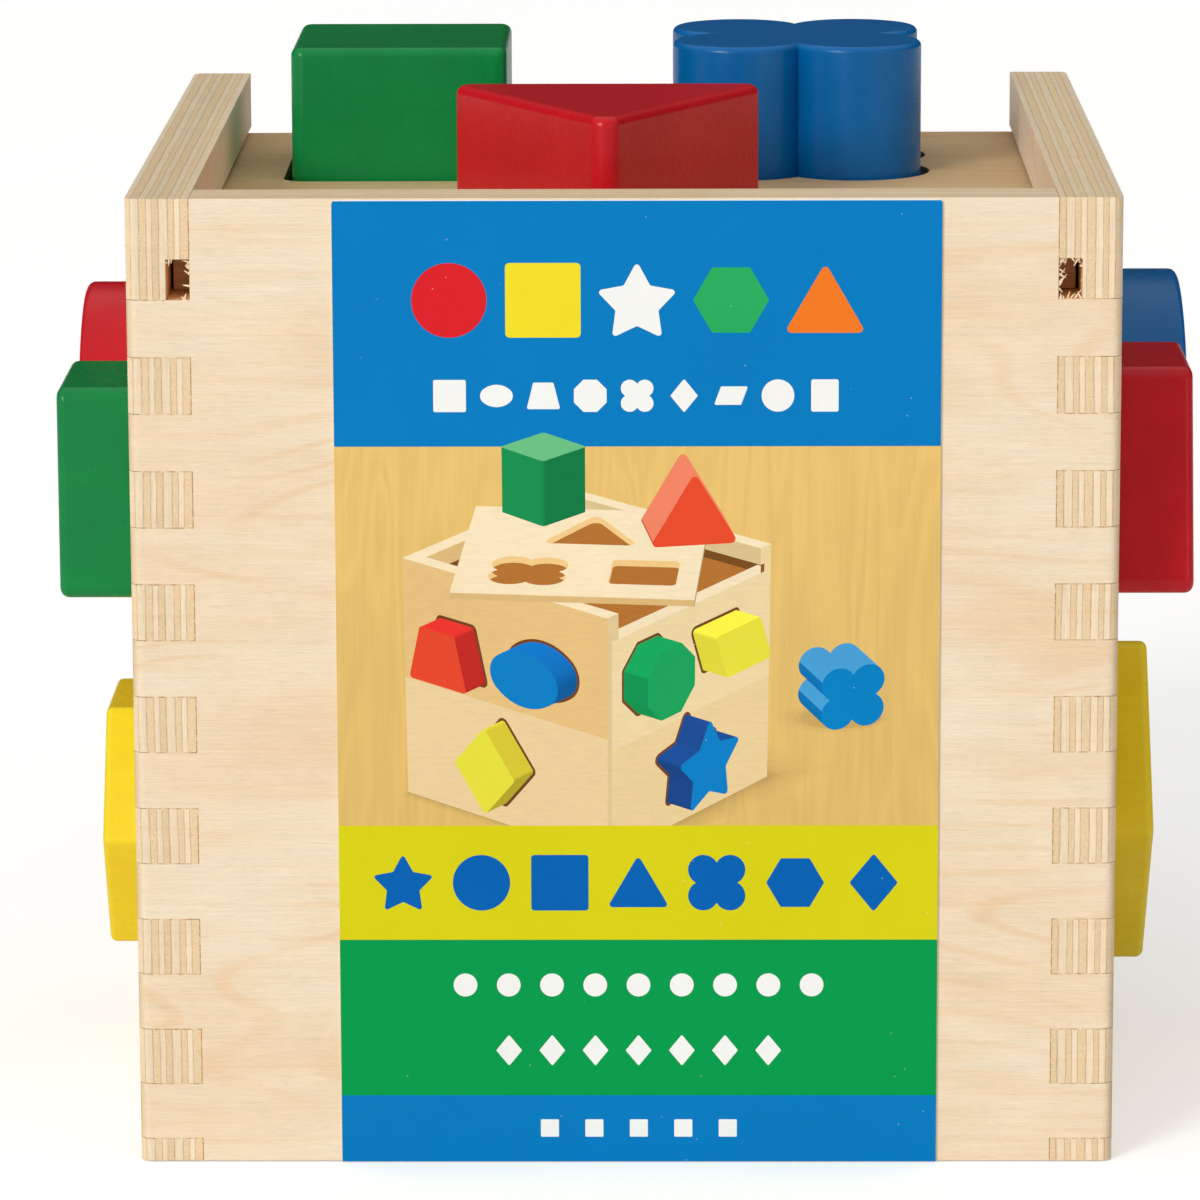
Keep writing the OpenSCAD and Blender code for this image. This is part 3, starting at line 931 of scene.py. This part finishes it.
def draw_box():
    # soft shadow on the table, darker towards the box
    for grow, dim in ((24, 0.97), (19, 0.94), (14, 0.90), (9, 0.85), (5, 0.77), (1.5, 0.66)):
        right, left = HALF + grow * 0.3, -HALF - grow * 1.5
        face3([(right, -HALF, 0), (right, HALF + grow * 0.4, 0), (left, HALF + grow * 0.9, 0),
               (left, -HALF, 0)], shade(TABLE, dim), TABLETOP)
    hollow, whole = (-INNER, INNER), (-HALF, HALF)
    lid_slot, rim = (LID_LO.z, LID_HI.z), (LID_HI.z, TOP)
    for spec in (
            # x, y, z, colour, grain
            # the floor and the far walls inside
            (hollow, hollow, FLOOR, shade(INSIDE, 0.5), PLY),
            (hollow, -INNER, (FLOOR, TOP), shade(INSIDE, 0.86), PLY),
            (-INNER, hollow, (FLOOR, TOP), shade(INSIDE, 1.0), PLY),
            # the far walls' grooves and rims
            (-INNER, (INNER, HALF), (BACK_TOP, TOP), shade(WOOD_R, 0.86), PLY),
            (-INNER, (-INNER, HALF), lid_slot, shade(INSIDE, 0.42), FLAT),
            (hollow, -INNER, lid_slot, shade(INSIDE, 0.42), FLAT),
            (-INNER, (-INNER, HALF), rim, shade(WOOD_R, 0.86), PLY),
            (hollow, -INNER, rim, shade(WOOD_L, 0.90), PLY),
            (whole, (-HALF, -INNER), TOP, WOOD_TOP, PLY),
            ((-HALF, -INNER), (-INNER, HALF), TOP, WOOD_TOP, PLY),
            # the low back wall, towards the viewer on the right, with its rim
            (whole, (INNER, HALF), BACK_TOP, shade(WOOD_TOP, 0.97), PLY),
            (whole, HALF, (0, BACK_TOP), WOOD_R, PLY),
            (whole, HALF, (62, BACK_TOP), lin(232, 210, 162), PLY),
            # the far side wall's end stands up past it, notched by its groove
            ((-HALF, -INNER), HALF, (BACK_TOP, TOP), shade(WOOD_R, 1.04), PLY),
            ((-INNER - 3.2, -INNER), HALF, lid_slot, shade(INSIDE, 0.6), FLAT),
            # the side wall towards the viewer on the left, its rim and its end
            ((INNER, HALF), whole, TOP, WOOD_TOP, PLY),
            ((INNER, HALF), HALF, (BACK_TOP, TOP), shade(WOOD_R, 0.92), PLY),
            (HALF, whole, (0, TOP), WOOD_L, PLY),
            (HALF, whole, (0, 70), lin(231, 203, 154), PLY),
            ((HALF - 3.5, HALF), HALF, (0, BACK_TOP), shade(WOOD_R, 0.90), PLY)):
        patch(*spec)


def draw_wall_blocks():
    for kind, side_colour, front in (
            ("trapezoid", lin(206, 44, 38), DRAWN_RED),
            ("oval", lin(8, 104, 178), DRAWN_BLUE),
            ("rhombus", lin(206, 190, 50), DRAWN_YELLOW),
            ("octagon", lin(14, 146, 80), DRAWN_GREEN),
            ("parallelogram", lin(220, 212, 60), DRAWN_YELLOW),
            ("star", lin(22, 66, 132), DRAWN_BLUE)):
        axes = across, up, out = WALL_AXES[BLOCKS[kind][2]]
        base = centre_in_wall(kind) + out * HALF
        # dark gap round the block
        face3([base + across * p.x + up * p.y for p in outline(kind, 1.7)], DARK)
        solid3(outline(kind), base, axes, 16, shade(side_colour, 1.3), front)


def draw_lid():
    """The lid, turned to face the viewer and laid on the rims; its holes show the inside."""
    across, back = turned(5, -VIEW_RIGHT, -VIEW_NEAR)
    along = -back
    centre = Vector((0, 0, TOP + 0.3)) + VIEW_NEAR * 11.7 + VIEW_RIGHT * (-2.5)
    half_width, half_length = (LID_HI.x - LID_LO.x) / 2, (LID_HI.y - LID_LO.y) / 2
    middle = Vector(((LID_LO.x + LID_HI.x) / 2, (LID_LO.y + LID_HI.y) / 2))
    solid3(box_corners(half_width, half_length), centre, (across, along, Z), DRAWN_LID,
           shade(WOOD_L, 1.30), WOOD_TOP, PLY)
    for kind in ("triangle", "quatrefoil", "square"):
        place = centre_in_wall(kind).xy - middle
        base = centre + across * place.x + along * place.y
        hole = outline(kind, 1.3)
        rim = [project(base + Z * DRAWN_LID + across * p.x + along * p.y) for p in hole]
        # the hole's far cut edge, and the inside of the box where both outlines overlap
        poly(rim, shade(WOOD_L, 1.12), PLY)
        poly([project(base + across * p.x + along * p.y) for p in hole], INSIDE, PLY, rim)


def draw_loose_blocks():
    # two blocks stand on the lid
    lid_top = Z * (TOP + 0.3 + DRAWN_LID)
    first, second = turned(45, VIEW_RIGHT, -VIEW_NEAR)
    solid3(outline("square"), lid_top + VIEW_RIGHT * (-23.5) + VIEW_NEAR * (-50),
           (first, second, Z), 38, DRAWN_GREEN, lin(104, 188, 128))
    first, second = turned(9, VIEW_RIGHT, -VIEW_NEAR)
    solid3(standing([-p for p in outline("triangle")]),
           lid_top + VIEW_RIGHT * 51.3 + VIEW_NEAR * (-33.7), (first, Z, -second), 36,
           shade(DRAWN_RED, 1.1), lin(226, 74, 42), lit=lin(236, 130, 98))
    # the third stands on the table, in its own soft shadow
    for grow, dim in ((9, 0.96), (6, 0.92), (3, 0.85), (1, 0.77)):
        middle = VIEW_RIGHT * (143 - grow * 0.6) + VIEW_NEAR * (-94)
        angles = [t * math.pi / 12 for t in range(24)]
        face3([middle + VIEW_RIGHT * ((22 + grow) * math.cos(angle))
               + VIEW_NEAR * ((14 + grow * 0.8) * math.sin(angle)) for angle in angles],
              shade(TABLE, dim), TABLETOP)
    first, second = turned(20, VIEW_RIGHT, -VIEW_NEAR)
    solid3(standing(outline("quatrefoil")), VIEW_RIGHT * 137 + VIEW_NEAR * (-112),
           (first, Z, -second), 34, DRAWN_BLUE, lin(0, 126, 192), lit=lin(70, 156, 210))


draw_box()
draw_wall_blocks()
draw_lid()
draw_loose_blocks()


# ------------------------------------------------------------------ cutting the label's card
def holds(outline_points, places):
    """Which of the places (n by 2) lie inside a closed polygon."""
    start = np.array([(p.x, p.y) for p in outline_points])
    end = np.roll(start, -1, axis=0)
    inside = np.zeros(len(places), bool)
    boxed = np.all((places >= start.min(0)) & (places <= start.max(0)), axis=1)
    near = np.nonzero(boxed)[0]
    x, y = places[near, 0][:, None], places[near, 1][:, None]
    crossed = (start[:, 1] > y) != (end[:, 1] > y)
    # level edges divide by zero here, but are never crossed
    with np.errstate(divide="ignore", invalid="ignore"):
        at_x = start[:, 0] + ((y - start[:, 1]) * (end[:, 0] - start[:, 0])
                              / (end[:, 1] - start[:, 1]))
    inside[near] = np.sum(crossed & (x < at_x), axis=1) % 2 == 1
    return inside


def cut_triangles():
    """All polygons' edges cut into triangles: their points and corner indices."""
    closest = 0.006  # nearer points of an outline are merged
    points, edges = [], []
    for outline_points, _, _, _ in polygons:
        clean = []
        for p in outline_points:
            if not clean or (p - clean[-1]).length > closest:
                clean.append(p)
        if (clean[0] - clean[-1]).length < closest:
            clean.pop()
        if len(clean) < 3:
            continue
        start, count = len(points), len(clean)
        points.extend(clean)
        edges.extend((start + i, start + (i + 1) % count) for i in range(count))
    cut = delaunay_2d_cdt(points, edges, [], 0, 1e-4, False)
    return cut[0], cut[2]


def topmost(points, triangles):
    """The index of the topmost polygon over each triangle, -1 outside the card."""
    middles = np.array([[(points[a].x + points[b].x + points[c].x) / 3,
                         (points[a].y + points[b].y + points[c].y) / 3]
                        for a, b, c in triangles])
    tops = np.full(len(middles), -1)
    for k, (outline_points, _, _, clip) in enumerate(polygons):
        hit = holds(outline_points, middles)
        if clip is not None:
            hit &= holds(clip, middles)
        if k >= picture_start:
            hit &= middles[:, 1] > PICTURE_BOTTOM
        tops[hit] = k
    tops[~holds(polygons[0][0], middles)] = -1
    return tops.tolist()


def cut_card(name):
    """One closed card. Its front is cut along every polygon edge and each piece takes the
    topmost polygon's colour."""
    points, triangles = cut_triangles()
    bm = bmesh.new()
    front, back = ([bm.verts.new(((LABEL_X + p.x) * MM, y * MM, p.y * MM)) for p in points]
                   for y in (label_lo.y, label_hi.y))
    picked, directed = [], {}  # a dict keeps the edges in order
    for triangle, top in zip(triangles, topmost(points, triangles)):
        if top < 0:
            continue
        a, b, c = (points[i] for i in triangle)
        double_area = (b - a).cross(c - a)
        if double_area == 0:
            continue
        order = list(triangle) if double_area > 0 else list(triangle)[::-1]
        picked.append((order, top))
        for i in range(3):
            directed[order[i], order[(i + 1) % 3]] = True
    prints = []  # colour and grain of each face
    for order, top in picked:
        bm.faces.new([front[i] for i in order])
        prints.append(polygons[top][1:3])
    for order, _ in picked:
        bm.faces.new([back[i] for i in order[::-1]])
        prints.append((INK_WHITE, FLAT))
    # the rim, along edges used in one direction only
    for a, b in directed:
        if (b, a) not in directed:
            bm.faces.new([front[b], front[a], back[a], back[b]])
            prints.append((INK_WHITE, FLAT))
    loose = [v for v in bm.verts if not v.link_faces]
    bmesh.ops.delete(bm, geom=loose, context="VERTS")
    obj = add_object(name, bm)
    attributes = obj.data.attributes
    attributes.new("print_colour", "FLOAT_COLOR", "FACE")
    attributes.new("print_grain", "FLOAT", "FACE")
    rgba = [value for colour, _ in prints for value in (*colour, 1.0)]
    attributes["print_colour"].data.foreach_set("color", rgba)
    attributes["print_grain"].data.foreach_set("value", [grain for _, grain in prints])
    obj.data.update()
    return obj


def print_material():
    mat = Material("mat_printed_card")
    position, _ = mat.coords()
    x, _, z = mat.xyz(position)
    ink = mat.new("ShaderNodeAttribute", attribute_name="print_colour").outputs["Color"]
    kind = mat.new("ShaderNodeAttribute", attribute_name="print_grain").outputs["Fac"]
    # printed table top: upright grain with slow figure
    figure = mat.stretched((x, 0.10), 0.0, (z, 0.016), distort=0.7)
    figure = mat.span(mat.math("SINE", mat.mul(figure, 60.0)), (-1.0, 1.0))
    streak = mat.stretched((x, 1.5), 0.0, (z, 0.05), detail=4.0, rough=0.6)
    table = mat.mul(mat.lerp(figure, 0.955, 1.02),
                    mat.span(streak, (0.25, 0.75), to=(0.95, 1.04)),
                    mat.span(z, (50.0, 105.0), to=(0.95, 1.04)))
    is_table = mat.math("GREATER_THAN", kind, 0.75)
    # printed plywood: fine level grain
    ply = mat.stretched((x, 0.35), 0.0, (z, 2.2), detail=4.0, rough=0.6)
    ply = mat.span(ply, (0.25, 0.75), to=(0.94, 1.05))
    is_ply = mat.between(kind, 0.25, 0.75)
    grain = mat.lerp(is_table, mat.lerp(is_ply, 1.0, ply), table)
    tone = mat.noise(position, scale=0.05, detail=3.0, rough=0.6)
    paper = mat.noise(position, scale=3.5, detail=3.0, rough=0.6)
    level = mat.mul(grain, mat.span(tone, (0.3, 0.7), to=(0.975, 1.02)),
                    mat.span(paper, (0.3, 0.7), to=(0.985, 1.01)))
    base = mat.scale(ink, level)
    speck = mat.mul(mat.span(mat.voronoi(position, scale=0.30), (0.035, 0.02)), 0.35)
    base = mat.mix(speck, base, (0.85, 0.85, 0.82))
    rough = mat.span(tone, (0.3, 0.7), to=(0.42, 0.5))
    return mat.surface(base, rough, mat.bump(paper, distance=0.00002), spec=0.07)


card_obj = cut_card("printed_label")
card_obj.data.materials.append(print_material())
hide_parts("front_label")
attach(card_obj, "box")

# ------------------------------------------------------------------ floor (metres from here on)
FLOOR_SIZE = 12.0
FLOOR_DROP = 0.0002  # just below the box
FLOOR_GLOW = 0.36


def floor_material():
    mat = Material("mat_floor")
    tone = mat.noise(mat.coords()[0], scale=0.004)
    base = mat.scale((0.858, 0.86, 0.866), mat.span(tone, (0.3, 0.7), to=(0.985, 1.0)))
    material = mat.surface(base, 0.85, spec=0.2)
    # an overexposed studio sweep: only the camera sees the glow, so it lights nothing
    mat.put(mat.shader.inputs["Emission Color"], (1.0, 0.995, 0.985))
    seen = mat.new("ShaderNodeLightPath").outputs["Is Camera Ray"]
    mat.put(mat.shader.inputs["Emission Strength"], mat.mul(seen, FLOOR_GLOW))
    return material


bm = bmesh.new()
bmesh.ops.create_grid(bm, x_segments=8, y_segments=8, size=FLOOR_SIZE)
floor = add_object("floor", bm)
floor.location = (0, 0, -FLOOR_DROP)
floor.data.materials.append(floor_material())


# ------------------------------------------------------------------ world
def build_world():
    """Soft dome: bright above, dim low down behind the object, so top faces keep their colour."""
    world = bpy.data.worlds.new("world")
    scene.world = world
    world.use_nodes = True
    sky = Nodes(world.node_tree)
    _, y, z = sky.xyz(sky.new("ShaderNodeTexCoord").outputs["Generated"])
    behind = sky.mul(sky.span(y, (-0.1, 0.6), smooth=True),
                     sky.span(z, (0.35, 0.85), to=(1.0, 0.0), smooth=True))
    level = sky.mul(sky.span(z, (0.25, 0.95), to=(0.34, 0.85), smooth=True),
                    sky.span(behind, (0.0, 1.0), to=(1.0, 0.08), smooth=True))
    sky.put_all(world.node_tree.nodes["Background"], ((1.0, 0.99, 0.98), level))


build_world()


# ------------------------------------------------------------------ lights
def add_light(name, kind, energy, towards, colour=(1, 1, 1)):
    """A light shining against `towards`, the direction from the object to it."""
    light = bpy.data.lights.new(name, kind)
    light.energy = energy
    light.color = colour
    obj = bpy.data.objects.new(name, light)
    obj.rotation_euler = (-towards).to_track_quat("-Z", "Y").to_euler()
    scene.collection.objects.link(obj)
    return obj


def add_area(name, where, aim, size, energy, colour=(1, 1, 1)):
    obj = add_light(name, "AREA", energy, Vector(where) - Vector(aim), colour)
    obj.location = where
    obj.data.shape = "RECTANGLE"
    obj.data.size, obj.data.size_y = size


# key from the front left, low; a weak fill keeps the right-hand faces readable
key = add_light("key", "SUN", energy=1.33, towards=Vector((-0.74, -0.98, 0.54)),
                colour=(1.0, 0.985, 0.96))
key.data.angle = math.radians(20)
add_area("fill", where=(1.1, -1.3, 0.45), aim=(0, 0, 0.07), size=(0.9, 0.6), energy=1.5,
         colour=(0.97, 0.985, 1.0))
add_area("strip", where=(-0.55, -1.2, 0.42), aim=(0, 0, 0.10), size=(0.35, 0.6), energy=2.4)

# ------------------------------------------------------------------ camera
CAMERA_PLACE = (0.00715, -0.9792, 0.2722)
CAMERA_TURN, CAMERA_TILT, CAMERA_ROLL = (math.radians(a) for a in (-0.67, 11.78, -0.2))


def add_camera():
    data = bpy.data.cameras.new("camera")
    camera = bpy.data.objects.new("camera", data)
    scene.collection.objects.link(camera)
    forward = Vector((math.sin(CAMERA_TURN) * math.cos(CAMERA_TILT),
                      math.cos(CAMERA_TURN) * math.cos(CAMERA_TILT), -math.sin(CAMERA_TILT)))
    level = Vector((math.cos(CAMERA_TURN), -math.sin(CAMERA_TURN), 0))
    upright = level.cross(forward)
    right = level * math.cos(CAMERA_ROLL) + upright * math.sin(CAMERA_ROLL)
    up = -level * math.sin(CAMERA_ROLL) + upright * math.cos(CAMERA_ROLL)
    rows = [(right[i], up[i], -forward[i], CAMERA_PLACE[i]) for i in range(3)]
    camera.matrix_world = Matrix((*rows, (0, 0, 0, 1)))
    data.sensor_width = 36.0
    data.lens = 196.74
    data.clip_start, data.clip_end = 0.01, 50
    scene.camera = camera


add_camera()
scene.view_settings.view_transform = "Standard"
scene.view_settings.look = "None"
scene.view_settings.exposure = 0.0
